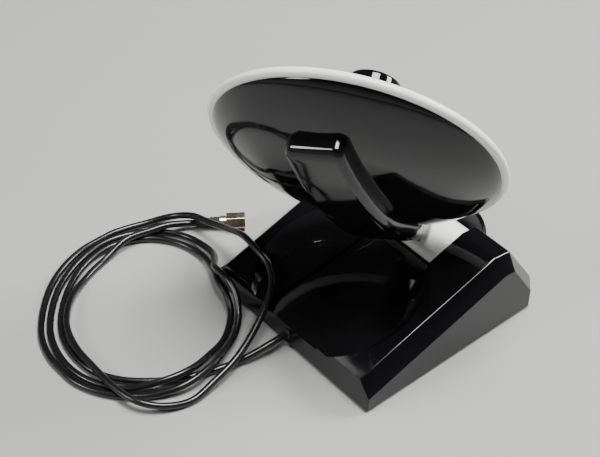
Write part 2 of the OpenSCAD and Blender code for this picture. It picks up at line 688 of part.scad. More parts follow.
// Lead and plug
module lead() {
    color("#0c0c0c") swept_tube(concat([[exit_x, exit_y, exit_z]], lead_route,
        [[plug_at[0], plug_at[1], plug_z]]), lead_r);
}
module plug_sleeve() {
    color("#141414") plug_frame() difference() {
        x_rod(lead_r + 0.7, 0, sleeve_l);
        x_rod(lead_r - 0.5, 4, sleeve_l + 1);
    }
}
module plug_body() {
    color("#c8b070") plug_frame() difference() {
        union() {
            x_rod(3.2, sleeve_l, sleeve_l + body_l);
            x_rod(2.6, sleeve_l + body_l, sleeve_l + body_l + 6);
            x_rod(lead_r - 0.5, sleeve_l - 4, sleeve_l);
        }
        x_rod(1.9, sleeve_l + body_l, sleeve_l + body_l + 7);
    }
}
module plug_nut() {
    start = sleeve_l + body_l + 0.2;
    color("#c9b98a") plug_frame() difference() {
        translate([start, 0, 0]) rotate([0, 90, 0]) rotate(30)
            cylinder(r = nut_af / 2 / cos(30), h = nut_l, $fn = 6);
        x_rod(2.65, start - 1, start + 3);
        x_rod(3.1, start + 3, start + nut_l + 1);
    }
}
module plug_insulator() {
    color("#ece9e0") plug_frame() difference() {
        x_rod(1.9, sleeve_l + body_l, sleeve_l + body_l + 5.6);
        x_rod(0.5, sleeve_l + body_l - 1, sleeve_l + body_l + 7);
    }
}
module plug_contact() {
    color("#d9b04a") plug_frame() x_rod(0.5, sleeve_l + body_l, sleeve_l + body_l + 6.5);
}

base_top_shell();
base_bottom_plate();
base_screws();
rubber_feet();
front_pad();
steel_weight();
weight_screws();
hinge_rear_cover();
cover_screws();
lead_bushing();
hinge_pin_left();
hinge_pin_right();
washer_left();
washer_right();
base_coax();
hinge_barrel();
barrel_cap();
swivel_washer();
dish_back_shell();
dish_front_shell();
reflector();
swivel_pin();
swivel_ring();
root_screws();
feed_mast();
feed_housing();
feed_board();
feed_element();
feed_director();
dish_coax();
lead();
plug_sleeve();
plug_body();
plug_nut();
plug_insulator();
plug_contact();
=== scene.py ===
import json
import math

import bmesh
import bpy
from mathutils import Matrix, Vector


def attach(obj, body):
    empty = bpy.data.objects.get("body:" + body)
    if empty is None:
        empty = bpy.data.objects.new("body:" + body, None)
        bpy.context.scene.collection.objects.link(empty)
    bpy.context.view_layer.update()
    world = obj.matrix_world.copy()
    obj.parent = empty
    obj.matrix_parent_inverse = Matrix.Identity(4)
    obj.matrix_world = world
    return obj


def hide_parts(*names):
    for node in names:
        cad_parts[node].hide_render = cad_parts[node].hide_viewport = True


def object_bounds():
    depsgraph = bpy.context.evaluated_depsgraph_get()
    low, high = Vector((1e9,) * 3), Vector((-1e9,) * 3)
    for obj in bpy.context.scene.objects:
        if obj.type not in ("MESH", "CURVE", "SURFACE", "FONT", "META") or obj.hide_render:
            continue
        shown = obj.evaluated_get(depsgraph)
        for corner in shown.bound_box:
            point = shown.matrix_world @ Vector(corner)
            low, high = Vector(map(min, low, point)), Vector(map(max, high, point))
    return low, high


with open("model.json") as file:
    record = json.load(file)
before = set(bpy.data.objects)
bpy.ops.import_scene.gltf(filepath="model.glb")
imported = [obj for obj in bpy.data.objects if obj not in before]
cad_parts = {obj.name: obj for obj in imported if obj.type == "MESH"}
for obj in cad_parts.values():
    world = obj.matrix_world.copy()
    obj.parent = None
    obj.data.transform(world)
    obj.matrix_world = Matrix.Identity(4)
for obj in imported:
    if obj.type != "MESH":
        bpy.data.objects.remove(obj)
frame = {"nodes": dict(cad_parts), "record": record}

bl_info = {
    "name": "Directional wireless antenna",
    "version": (1, 0, 0),
    "blender": (4, 5, 0),
    "location": "3D View > Sidebar > Antenna",
    "description": "Dresses the packed antenna with smooth shells, its lead and its finishes",
    "category": "Object",
}

MM = 0.001
CAD_BOX = [list(corner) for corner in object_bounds()]
HINGE = Vector((0.0, 33.5, 24.5)) * MM

# The photograph's camera, in metres and degrees
CAMERA_PLACE = (0.41555, -0.38946, 0.57266)
CAMERA_AZIMUTH = 50.3
CAMERA_ELEVATION = 42.9
CAMERA_ROLL = -0.5
SENSOR_WIDTH = 36
FOCAL_LENGTH = 99.87

# The lead's curve has this many points for each pair of its route's points
LEAD_STEPS = 5
# The plug points this way on the table, in degrees
PLUG_HEADING = 53
# Steps round a revolved dish, feed and small part
DISH_STEPS = 160
FEED_STEPS = 128
SMALL_STEPS = 64
BOOT_STEPS = 48

# Centre line of the lead in millimetres, from its bushing to its plug, as in the part's source,
# and scaled to metres where it is used
LEAD_ROUTE = (
    (-2, -52.284, 6.3), (-2, -60, 6.3), (-4, -72, 4), (-8, -85, 1.8), (-13, -99, 1.7), (-21, -113, 1.7),
    (-32, -125, 1.7), (-45, -132, 1.7), (-60, -133, 1.7), (-75, -129, 1.7), (-89, -119, 1.7),
    (-100, -106, 1.7), (-107, -91, 1.7), (-108, -75, 1.7), (-101, -60, 1.7), (-88, -50, 1.7),
    (-73, -47, 2.5), (-61, -50, 5), (-50, -55.2, 8.5), (-40, -57.5, 7), (-31, -62, 3.5), (-22, -73, 1.7),
    (-17, -86, 3.4), (-14, -99, 5.5), (-17, -113, 5.1), (-27, -128, 1.7), (-42, -137, 1.7),
    (-59, -139, 1.7), (-77, -134, 1.7), (-93, -122, 1.7), (-104, -108, 1.7), (-111, -91, 1.7),
    (-112, -74, 1.7), (-105, -57, 1.7), (-91, -45, 1.7), (-76, -42.5, 3.5), (-64, -46, 8),
    (-53, -54, 14), (-42, -55.4, 15.6), (-33, -57, 12.5), (-25, -62, 7.5), (-18.5, -69.5, 5),
    (-13, -80, 5.3), (-9, -93, 5.5), (-9, -108, 4.5),
    (-17, -123, 1.8), (-29, -135, 1.7), (-44, -142, 1.7), (-61, -143, 1.7),
    (-79, -138, 1.7), (-96, -125, 1.7), (-108, -110, 1.7), (-115, -92, 1.7), (-116, -73, 1.7),
    (-111, -55, 1.8), (-104, -43, 4.6), (-94, -37, 8.6), (-83, -35, 11), (-70, -34, 15.5),
    (-57, -35, 21.5), (-49, -36, 23.2), (-41, -37, 22.8), (-32, -38, 21), (-24, -42, 18.6),
    (-18, -49, 16.2), (-13, -58, 13.2), (-8, -69, 9.8), (-4, -81, 7), (-2, -95, 4),
    (-1, -108, 1.9), (-5, -120, 3.4), (-14, -129, 5.3), (-28, -132, 5.3), (-44, -132, 5.3),
    (-60, -131, 5.3), (-75, -126, 5.3), (-88, -115, 4.6), (-97, -101, 1.9), (-102, -86, 1.7),
    (-104, -71, 5.4), (-102, -59, 5.4), (-99, -48, 5.3), (-94.2, -38.1, 4), (-90, -32.5, 4),
)

# The arm starts this far from the hinge axis
ARM_ROOT = 13 * MM
# The arm's back and its front, in millimetres: along the arm, and forward of the hinge axis
ARM_BACK = (
    (13, -10.4), (14, -12.2), (16, -14), (19, -15.4), (22.5, -17), (27, -19), (32, -21.4), (37, -23.8),
    (42, -26.3), (47, -28.4), (55, -30.8), (66, -32.9), (78, -34), (90, -34.3), (102, -33.9), (112, -33),
    (120, -31.7), (131, -29.6),
)
ARM_FRONT = ((13, 0), (21, 0), (23, -4), (25, -8.2), (28.5, -9.2), (33, -11), (38, -12.9))
# Where the arm's sections are, along the arm
ARM_STATIONS = (
    13, 13.4, 14, 15, 17, 19, 21, 22.4, 23.6, 25, 27, 29, 32, 35, 38.1, 42, 46, 50, 55, 60, 66, 72, 78,
    84, 90, 96, 102, 107, 112, 116, 120, 123, 126,
)


# Sizes and colours a user would change
def length(name, description, default):
    """A length property whose default is given in millimetres."""
    return bpy.props.FloatProperty(name=name, description=description, default=default * MM,
                                   unit="LENGTH", subtype="DISTANCE", precision=5)


def colour(name, description, default):
    return bpy.props.FloatVectorProperty(name=name, description=description, default=default,
                                         size=3, min=0, max=1, subtype="COLOR")


class AntennaDishSizes(bpy.types.PropertyGroup):
    tilt: bpy.props.FloatProperty(name="Tilt", description="Tilt of the arm above the table",
                                  default=math.radians(61.6), subtype="ANGLE", unit="ROTATION")
    swivel: bpy.props.FloatProperty(name="Swivel", description="Swivel of the dish about its arm",
                                    default=math.radians(30), subtype="ANGLE", unit="ROTATION")
    radius: length("Dish radius", "Outer radius of the white rim", 67.97)
    reach: length("Arm reach", "Hinge axis to the dish's centre, along the arm", 91)
    rim_back: length("Rim set-back", "Rim's plane behind the hinge axis", 5.9)
    bowl_depth: length("Bowl depth", "Depth of the black bowl behind the rim's plane", 20.5)
    bowl_wall: length("Bowl wall", "Thickness of the black bowl", 1.8)
    face_depth: length("Face depth", "Depth of the white face behind the rim's plane", 13)
    face_wall: length("Face wall", "Thickness of the white face", 1.6)
    bead: length("Rim height", "Height of the rolled white rim", 4.6)
    arm_width: length("Arm width", "Width of the arm across the bowl", 28)
    arm_root: length("Arm root width", "Width of the arm at the barrel", 19)
    arm_edge: length("Arm edge radius", "Rounding of the arm's long edges", 4.4)


class AntennaFeedSizes(bpy.types.PropertyGroup):
    radius: length("Feed radius", "Radius of the feed housing", 12.5)
    reach: length("Feed reach", "Front of the feed housing before the rim's plane", 34)
    height: length("Feed height", "Height of the feed housing", 24)
    wall: length("Feed wall", "Thickness of the feed housing", 1.5)
    edge: length("Feed edge radius", "Rounding of the feed housing's front edge", 2)


class AntennaLeadSizes(bpy.types.PropertyGroup):
    diameter: length("Lead diameter", "Outside diameter of the lead", 3.4)


class AntennaColours(bpy.types.PropertyGroup):
    black: colour("Black plastic", "Colour of the glossy black shells", (0.0035, 0.0035, 0.004))
    white: colour("White plastic", "Colour of the rim, the face and the barrel", (0.90, 0.88, 0.83))
    jacket: colour("Lead jacket", "Colour of the lead", (0.005, 0.005, 0.0055))
    plating: colour("Plug plating", "Colour of the plug's nut", (0.80, 0.68, 0.46))
    floor: colour("Floor", "Colour of the pale floor", (0.40, 0.40, 0.392))


# Shader maths
class Val:
    """A socket, or a number, that builds Math nodes when it is used in an expression."""

    def __init__(self, tree, socket):
        self.tree = tree
        self.socket = socket

    def _math(self, operation, a, b):
        return add_node(self.tree, "ShaderNodeMath", {"operation": operation}, {0: a, 1: b})

    def __add__(self, other):
        return self._math("ADD", self, other)

    def __sub__(self, other):
        return self._math("SUBTRACT", self, other)

    def __rsub__(self, other):
        return self._math("SUBTRACT", other, self)

    def __mul__(self, other):
        return self._math("MULTIPLY", self, other)

    __radd__, __rmul__ = __add__, __mul__

    def fit(self, low, high, to_low, to_high):
        ends = {"Value": self, "From Min": low, "From Max": high, "To Min": to_low, "To Max": to_high}
        return add_node(self.tree, "ShaderNodeMapRange", {"clamp": True}, ends)


def set_socket(tree, socket, value):
    """Links a built value to a socket, or writes a plain one to it."""
    if isinstance(value, Val):
        tree.links.new(value.socket, socket)
    elif socket.type == "RGBA" and len(value) == 3:
        socket.default_value = (*value, 1)
    else:
        socket.default_value = value


def add_node(tree, kind, settings=None, inputs=None, output=0):
    """Adds a node: its settings first, then the values or links of its sockets. Gives one output."""
    node = tree.nodes.new(kind)
    for key, value in (settings or {}).items():
        if key == "stops":
            ramp = node.color_ramp.elements
            while len(ramp) < len(value):
                ramp.new(0.5)
            for stop, (place, shade) in zip(ramp, value):
                stop.position = place
                stop.color = (*shade, 1)
        else:
            setattr(node, key, value)
    for key, value in (inputs or {}).items():
        set_socket(tree, node.inputs[key], value)
    return Val(tree, node.outputs[output])


def mix_colour(tree, share, a, b):
    """Goes from colour a to colour b with share."""
    return add_node(tree, "ShaderNodeMix", {"data_type": "RGBA"}, {0: share, 6: a, 7: b}, output=2)


class Finish:
    """One material on a Principled shader, patterned on Object coordinates in metres."""

    def __init__(self, name, **steady):
        self.material = bpy.data.materials.new(name)
        self.material.use_nodes = True
        self.tree = self.material.node_tree
        self.shader = self.tree.nodes["Principled BSDF"]
        for socket, value in steady.items():
            self.put(socket.replace("_", " "), value)
        self.place = add_node(self.tree, "ShaderNodeTexCoord", output=3)

    def put(self, socket, value):
        set_socket(self.tree, self.shader.inputs[socket], value)

    def stretched(self, scale, turn=(0, 0, 0)):
        """The place, turned and scaled, for a pattern that is drawn out one way."""
        return add_node(self.tree, "ShaderNodeMapping", {},
                        {"Vector": self.place, "Scale": scale, "Rotation": turn})

    def noise(self, scale, detail=3, roughness=0.5, where=None):
        inputs = {"Vector": where or self.place, "Scale": scale, "Detail": detail, "Roughness": roughness}
        return add_node(self.tree, "ShaderNodeTexNoise", {}, inputs)

    def cells(self, scale, feature="F1"):
        return add_node(self.tree, "ShaderNodeTexVoronoi", {"feature": feature},
                        {"Vector": self.place, "Scale": scale})

    def bump(self, height, strength, distance):
        self.put("Normal", add_node(self.tree, "ShaderNodeBump", {},
                                    {"Height": height, "Strength": strength, "Distance": distance}))


def tint(shade, factor):
    """A colour made lighter or darker."""
    return tuple(min(1.0, c * factor) for c in shade)


def moulded_plastic(name, shade, roughness, dust):
    """Injection-moulded plastic: slow flow ripple, polishing haze, hairline scuffs and a little dust."""
    dust_colour = (0.34, 0.33, 0.31)
    f = Finish(name, Specular_IOR_Level=0.5, IOR=1.52)
    haze = f.noise(38, 4, 0.55)
    scuffs = f.noise(300, 2, 0.6, f.stretched((1, 0.06, 1), (0.3, 0.2, 0.7))).fit(0.62, 0.72, 0, 1)
    specks = f.cells(900).fit(0.03, 0.10, 1, 0) * f.noise(60, 2).fit(0.45, 0.65, 0, 1)
    worn = haze.fit(0.3, 0.7, 0, 1)
    base = mix_colour(f.tree, worn, shade, tint(shade, 1.18))
    f.put("Base Color", mix_colour(f.tree, specks * dust, base, dust_colour))
    f.put("Roughness", worn * 0.05 + (scuffs * 0.10 + (specks * 0.25 + roughness)))
    f.bump(f.noise(55, 2) + f.noise(1400, 1) * 0.02, 0.05, 0.002)
    return f.material


def matt_plastic(name, shade, roughness=0.55):
    """Spark-eroded matt plastic: fine even grain with slight shine where it is handled."""
    f = Finish(name, IOR=1.5)
    pits = f.noise(2600, 2, 0.6)
    patches = f.noise(45, 3)
    f.put("Base Color", mix_colour(f.tree, patches, shade, tint(shade, 1.35)))
    f.put("Roughness", patches.fit(0.3, 0.7, roughness - 0.08, roughness + 0.08))
    f.bump(pits, 0.5, 0.00008)
    return f.material


def cable_jacket(name, shade):
    """Extruded vinyl: a soft sheen, faint bands along it and a few lighter scuffs."""
    f = Finish(name, IOR=1.5, Coat_Weight=0.15, Coat_Roughness=0.3)
    patches = f.noise(70, 3)
    grain = f.noise(1500, 2)
    scuffs = f.noise(260, 3, 0.7).fit(0.66, 0.74, 0, 1)
    body = mix_colour(f.tree, patches, shade, tint(shade, 1.5))
    f.put("Base Color", mix_colour(f.tree, scuffs * 0.15, body, (0.06, 0.06, 0.06)))
    f.put("Roughness", patches * 0.10 + (scuffs * 0.15 + 0.22))
    f.bump(grain, 0.25, 0.0001)
    return f.material


def rubber(name, shade):
    """Matt rubber with a dusty bloom and fine pores."""
    f = Finish(name, IOR=1.5)
    bloom = f.noise(90, 4, 0.6).fit(0.35, 0.7, 0, 1)
    f.put("Base Color", mix_colour(f.tree, bloom, shade, tint(shade, 2.2)))
    f.put("Roughness", bloom * 0.12 + 0.72)
    f.bump(f.noise(2200, 2), 0.4, 0.0001)
    return f.material


def worked_metal(name, shade, roughness, lines=(1, 1, 0.05), tarnish=(0.5, 0.45, 0.4)):
    """Turned, plated or drawn metal: fine tool lines, uneven shine and a trace of tarnish."""
    tarnished = tuple(a * b for a, b in zip(shade, tarnish))
    f = Finish(name, Metallic=1.0)
    tool = f.noise(6000, 2, 0.5, f.stretched(lines))
    dull = f.noise(160, 4, 0.6).fit(0.5, 0.8, 0, 1)
    f.put("Base Color", mix_colour(f.tree, dull * 0.3, shade, tarnished))
    f.put("Roughness", tool * 0.12 + (dull * 0.12 + roughness))
    f.bump(tool, 0.15, 0.00002)
    return f.material


def circuit_board(name):
    """Green solder mask with slightly raised tracks."""
    f = Finish(name, IOR=1.55)
    tracks = f.cells(320, feature="DISTANCE_TO_EDGE").fit(0.05, 0.09, 1, 0)
    f.put("Base Color", mix_colour(f.tree, tracks, (0.010, 0.085, 0.030), (0.03, 0.17, 0.06)))
    f.put("Roughness", f.noise(200).fit(0.3, 0.7, 0.28, 0.4))
    f.bump(tracks, 0.3, 0.0001)
    return f.material


MADE_FINISHES = {}


def finishes():
    """Every finish by the record's slot name, made once."""
    if not MADE_FINISHES:
        tones = bpy.context.scene.antenna_colours
        black = tuple(tones.black)
        white = tuple(tones.white)
        MADE_FINISHES.update({
            "black_gloss": moulded_plastic("glossy black plastic", black, 0.05, 0.2),
            "black_matt": matt_plastic("matt black plastic", (0.014, 0.014, 0.015)),
            "white_gloss": moulded_plastic("glossy white plastic", white, 0.16, 0.12),
            "steel": worked_metal("cut steel", (0.42, 0.43, 0.44), 0.38, (0.05, 1, 1)),
            "zinc_screw": worked_metal("zinc plating", (0.60, 0.61, 0.63), 0.28),
            "pin_steel": worked_metal("turned steel", (0.56, 0.57, 0.58), 0.22),
            "black_rubber": rubber("black rubber", (0.013, 0.013, 0.014)),
            "lead_jacket": cable_jacket("lead jacket", tuple(tones.jacket)),
            "washer_plastic": matt_plastic("washer plastic", (0.62, 0.60, 0.54), 0.45),
            "reflector_metal": worked_metal("reflector sheet", (0.72, 0.73, 0.75), 0.3),
            "board": circuit_board("circuit board"),
            "copper": worked_metal("copper sheet", (0.72, 0.36, 0.20), 0.3, (1, 1, 1), (0.6, 0.4, 0.35)),
            "plug_plating": worked_metal("plug plating", tuple(tones.plating), 0.2),
            "plug_insulation": matt_plastic("white insulator", (0.72, 0.70, 0.65), 0.4),
            "gold_contact": worked_metal("contact plating", (0.85, 0.60, 0.22), 0.2),
        })
    return MADE_FINISHES


# Modelling helpers
def dish_sizes():
    """The dish's sizes as they stand in the scene."""
    return bpy.context.scene.antenna_dish


def arm_frame():
    """The frame on the hinge axis: X across the arm, Y the way the dish faces, Z up the arm."""
    d = dish_sizes()
    return (Matrix.Translation(HINGE) @ Matrix.Rotation(math.pi / 2 - d.tilt, 4, "X")
            @ Matrix.Rotation(d.swivel, 4, "Z"))


def dish_frame():
    """The rim's circle: Z is the front normal, -Y points up the arm."""
    d = dish_sizes()
    centre = Matrix.Translation((0, -d.rim_back, d.reach))
    return arm_frame() @ centre @ Matrix.Rotation(-math.pi / 2, 4, "X")


def revolve(bm, profile, steps, closed=True):
    """Spins an outline of (radius, height) pairs round Z; one that starts and ends on Z isn't closed."""
    first = [bm.verts.new((max(r, 0.0), 0, z)) for r, z in profile]
    edges = [bm.edges.new((a, b)) for a, b in zip(first, first[1:])]
    if closed:
        edges.append(bm.edges.new((first[-1], first[0])))
    bmesh.ops.spin(bm, geom=first + edges, axis=(0, 0, 1), cent=(0, 0, 0), dvec=(0, 0, 0),
                   angle=2 * math.pi, steps=steps, use_merge=True, use_duplicate=False)
    bmesh.ops.remove_doubles(bm, verts=bm.verts[:], dist=1e-6)
    bmesh.ops.recalc_face_normals(bm, faces=bm.faces[:])


def arc(centre, radius, start, end, steps=8):
    """Points of an arc in an outline, angles in degrees."""
    turns = [math.radians(start + (end - start) * i / steps) for i in range(steps + 1)]
    return [(centre[0] + radius * math.cos(q), centre[1] + radius * math.sin(q)) for q in turns]


def bowl_edge():
    """Outer radius of the bowl, just inside the rim's roll."""
    return dish_sizes().radius - 3.1 * MM


def bowl_height(radius):
    """Height of the bowl's outside at a radius: a full curve, flatter in the middle than at its edge."""
    lip = 2.0 * MM
    flatness, fullness = 2.3, 0.72
    share = 1 - min(1.0, radius / bowl_edge()) ** flatness
    return -lip - (dish_sizes().bowl_depth - lip) * share ** fullness


def cap_height(radius, sphere, depth):
    """Height of a spherical cap of that depth at a radius."""
    return sphere - depth - math.sqrt(sphere * sphere - radius * radius)


def mark_sharp(bm, degrees):
    """Shades a mesh smooth, with its edges sharp from that angle."""
    limit = math.radians(degrees)
    for face in bm.faces:
        face.smooth = True
    for edge in bm.edges:
        edge.smooth = len(edge.link_faces) == 2 and edge.calc_face_angle(0.0) < limit


def make_piece(name, bm, body, slot, replaces=(), sharp=32):
    """Turns a bmesh in the part's frame into a piece that rides on a body."""
    mark_sharp(bm, sharp)
    mesh = bpy.data.meshes.new(name)
    bm.to_mesh(mesh)
    bm.free()
    piece = bpy.data.objects.new(name, mesh)
    bpy.context.scene.collection.objects.link(piece)
    mesh.materials.append(finishes()[slot])
    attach(piece, body)
    if replaces:
        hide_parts(*replaces)
    return piece


def flatten_normals(piece):
    """Keeps flat faces flat beside rounded edges."""
    keep = piece.modifiers.new("flat faces", "WEIGHTED_NORMAL")
    keep.keep_sharp = True
    keep.weight = 60


def softened(name, node, body, slot, radius, segments=3, angle=35, clear=0.0):
    """A merged copy of a CAD node that stands for it, with its hard edges rounded.

    With clear, only edges whose neighbours are longer than that are rounded, and at their full radius.
    """
    bm = bmesh.new()
    bm.from_mesh(frame["nodes"][node].data)
    bmesh.ops.remove_doubles(bm, verts=bm.verts[:], dist=2e-6)
    bmesh.ops.dissolve_limit(bm, angle_limit=math.radians(0.4), verts=bm.verts[:], edges=bm.edges[:],
                             use_dissolve_boundaries=False, delimit={"NORMAL"})
    limit = math.radians(angle)
    hard = [e for e in bm.edges if len(e.link_faces) == 2 and e.calc_face_angle(0.0) > limit
            and min(near.calc_length() for v in e.verts for near in v.link_edges) > clear]
    bmesh.ops.bevel(bm, geom=hard, offset=radius, offset_type="OFFSET", affect="EDGES", segments=segments,
                    profile=0.5, material=-1, clamp_overlap=clear == 0, loop_slide=True)
    piece = make_piece(name, bm, body, slot, [node], sharp=45)
    flatten_normals(piece)
    return piece


def along(table, u):
    """A table's value, in metres, at a place along the arm."""
    u /= MM
    for (a, va), (b, vb) in zip(table, table[1:]):
        if a <= u <= b:
            return (va + (vb - va) * (u - a) / (b - a)) * MM
    return (table[0][1] if u < table[0][0] else table[-1][1]) * MM


def arm_seat(d, u):
    """The front of an arm's section: the bowl's own wall where the arm lies on it."""
    bowl_starts, sunk = 38 * MM, 1.2 * MM
    if u < bowl_starts:
        return along(ARM_FRONT, u)
    return bowl_height(abs(u - d.reach)) - d.rim_back + sunk


def arm_outline(d, u, inset, end):
    """One section across the arm: wide rounding at its back, slight rounding at its front."""
    spread_from, spread_over = 17 * MM, 19 * MM
    root_round, least_r = 0.6 * MM, 0.3 * MM
    spread = min(1.0, max(0.0, (u - spread_from) / spread_over))
    spread = spread * spread * (3 - 2 * spread)
    root_in = max(0.0, root_round - (u - ARM_ROOT))
    half = (d.arm_root + (d.arm_width - d.arm_root) * spread) / 2 - inset - root_in
    back = along(ARM_BACK, min(u, end)) + inset * 0.8 + root_in
    near = arm_seat(d, min(u, end - 0.3 * MM)) - root_in
    r = max(least_r, min(d.arm_edge, half * 0.8, (near - back) * 0.45) - inset * 0.5)
    small = min(1.2 * MM, (near - back) * 0.3)
    return (arc((half - r, back + r), r, -90, 0)
            + arc((half - small, near - small), small, 0, 90, 3)
            + arc((small - half, near - small), small, 90, 180, 3)
            + arc((r - half, back + r), r, 180, 270))


def add_boss(bm):
    """Adds the round boss of the arm's root, which turns on the barrel."""
    boss_r, low, high, lip = 8 * MM, ARM_ROOT, 22.4 * MM, 0.8 * MM
    profile = [(0, low), (boss_r - lip, low)]
    profile += arc((boss_r - lip, low + lip), lip, -90, 0, 4)
    profile += arc((boss_r - lip, high - lip), lip, 0, 90, 4)
    profile += [(0, high)]
    boss = bmesh.new()
    revolve(boss, profile, SMALL_STEPS, closed=False)
    spare = bpy.data.meshes.new("boss")
    boss.to_mesh(spare)
    boss.free()
    bm.from_mesh(spare)
    bpy.data.meshes.remove(spare)


class PieceOperator:
    """What every piece's operator shares: execute() makes it and raises if it can't."""

    bl_options = {"REGISTER", "UNDO"}

    def execute(self, context):
        self.make(context)
        return {"FINISHED"}


# The stage
class ANTENNA_OT_stage(PieceOperator, bpy.types.Operator):
    """Sets the floor, the soft studio lights and the camera at the photograph's viewing angle"""

    bl_idname = "antenna.stage"
    bl_label = "Stage"

    def make(self, context):
        scene = context.scene
        self.aim_camera(scene)
        self.lay_floor(scene)
        self.lamp(scene, "overhead softbox", (0.12, 0.14, 1.45), (0, 0, 0.04), 0.62, 36)
        self.lamp(scene, "right softbox", (0.50, 1.05, 0.85), (0, 0, 0.08), 0.4, 18)
        self.lamp(scene, "left softbox", (-0.40, -1.05, 0.85), (0, 0, 0.06), 0.35, 7)
        self.studio(scene)

    @staticmethod
    def aim_camera(scene):
        """Puts the camera where the photograph was taken from."""
        azimuth = math.radians(CAMERA_AZIMUTH)
        elevation = math.radians(CAMERA_ELEVATION)
        roll = math.radians(CAMERA_ROLL)
        back = Vector((math.sin(azimuth) * math.cos(elevation), -math.cos(azimuth) * math.cos(elevation),
                       math.sin(elevation)))
        right = Vector((math.cos(azimuth), math.sin(azimuth), 0))
        up = back.cross(right)
        level = right * math.cos(roll) + up * math.sin(roll)
        upright = up * math.cos(roll) - right * math.sin(roll)
        lens = bpy.data.cameras.new("camera")
        lens.sensor_fit = "HORIZONTAL"
        lens.sensor_width = SENSOR_WIDTH
        lens.lens = FOCAL_LENGTH
        lens.clip_start = 0.01
        lens.clip_end = 20
        camera = bpy.data.objects.new("camera", lens)
        facing = Matrix((level, upright, back)).transposed().to_4x4()
        camera.matrix_world = Matrix.Translation(CAMERA_PLACE) @ facing
        scene.collection.objects.link(camera)
        scene.camera = camera

    @staticmethod
    def lay_floor(scene):
        """Lays a plain floor of pale paper."""
        bm = bmesh.new()
        bmesh.ops.create_grid(bm, x_segments=1, y_segments=1, size=3)
        mesh = bpy.data.meshes.new("floor")
        bm.to_mesh(mesh)
        bm.free()
        floor = bpy.data.objects.new("floor", mesh)
        scene.collection.objects.link(floor)
        paper = Finish("pale floor", Specular_IOR_Level=0.3)
        shade = tuple(scene.antenna_colours.floor)
        paper.put("Base Color", mix_colour(paper.tree, paper.noise(6, 2), shade, tint(shade, 1.04)))
        paper.put("Roughness", paper.noise(14, 2).fit(0.3, 0.7, 0.55, 0.65))
        mesh.materials.append(paper.material)

    @staticmethod
    def studio(scene):
        """A room that is pale round the horizon and dark overhead, as the glossy shells mirror it."""
        world = bpy.data.worlds.new("studio")
        world.use_nodes = True
        tree = world.node_tree
        way = add_node(tree, "ShaderNodeTexCoord", output=0)
        height = add_node(tree, "ShaderNodeSeparateXYZ", {}, {"Vector": way}, output=2)
        shade = add_node(tree, "ShaderNodeValToRGB", {
            "stops": ((0.0, (0.42, 0.43, 0.45)), (0.22, (0.20, 0.205, 0.215)), (0.42, (0.04, 0.04, 0.043)),
                      (1.0, (0.02, 0.02, 0.022)))}, {"Fac": height})
        room = tree.nodes["Background"].inputs
        tree.links.new(shade.socket, room["Color"])
        room["Strength"].default_value = 1.0
        scene.world = world

    @staticmethod
    def lamp(scene, name, place, target, size, watts):
        """A square softbox at a place, turned to a target."""
        data = bpy.data.lights.new(name, "AREA")
        data.shape = "RECTANGLE"
        data.size = size
        data.size_y = size
        data.energy = watts
        lamp = bpy.data.objects.new(name, data)
        facing = Vector(target) - Vector(place)
        lamp.matrix_world = Matrix.Translation(place) @ facing.to_track_quat("-Z", "Y").to_matrix().to_4x4()
        scene.collection.objects.link(lamp)


# The lead
class ANTENNA_OT_lead(PieceOperator, bpy.types.Operator):
    """Lays the coaxial lead on one smooth curve through its route"""

    bl_idname = "antenna.lead"
    bl_label = "Lead"

    def make(self, context):
        size = context.scene.antenna_lead
        route = [Vector(p) * MM for p in LEAD_ROUTE]
        # The curve swings out a little between its points, so it is kept inside the CAD box and off the floor
        inside = [edge + size.diameter / 2 for edge in CAD_BOX[0]]
        line = []
        for i in range(len(route) - 1):
            a, b = route[max(i - 1, 0)], route[i]
            c, d = route[i + 1], route[min(i + 2, len(route) - 1)]
            for step in range(LEAD_STEPS):
                t = step / LEAD_STEPS
                place = 0.5 * (2 * b + (c - a) * t + (2 * a - 5 * b + 4 * c - d) * t * t
                               + (3 * b - a - 3 * c + d) * t * t * t)
                line.append(Vector(max(at, edge) for at, edge in zip(place, inside)))
        line.append(route[-1])
        curve = bpy.data.curves.new("coaxial_lead", "CURVE")
        curve.dimensions = "3D"
        curve.bevel_depth = size.diameter / 2
        curve.bevel_resolution = 4
        curve.use_fill_caps = True
        spline = curve.splines.new("POLY")
        spline.points.add(len(line) - 1)
        for point, place in zip(spline.points, line):
            point.co = (*place, 1)
        spline.use_smooth = True
        curve.materials.append(finishes()["lead_jacket"])
        lead = bpy.data.objects.new("coaxial_lead", curve)
        context.scene.collection.objects.link(lead)
        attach(lead, "base")
        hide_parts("lead")


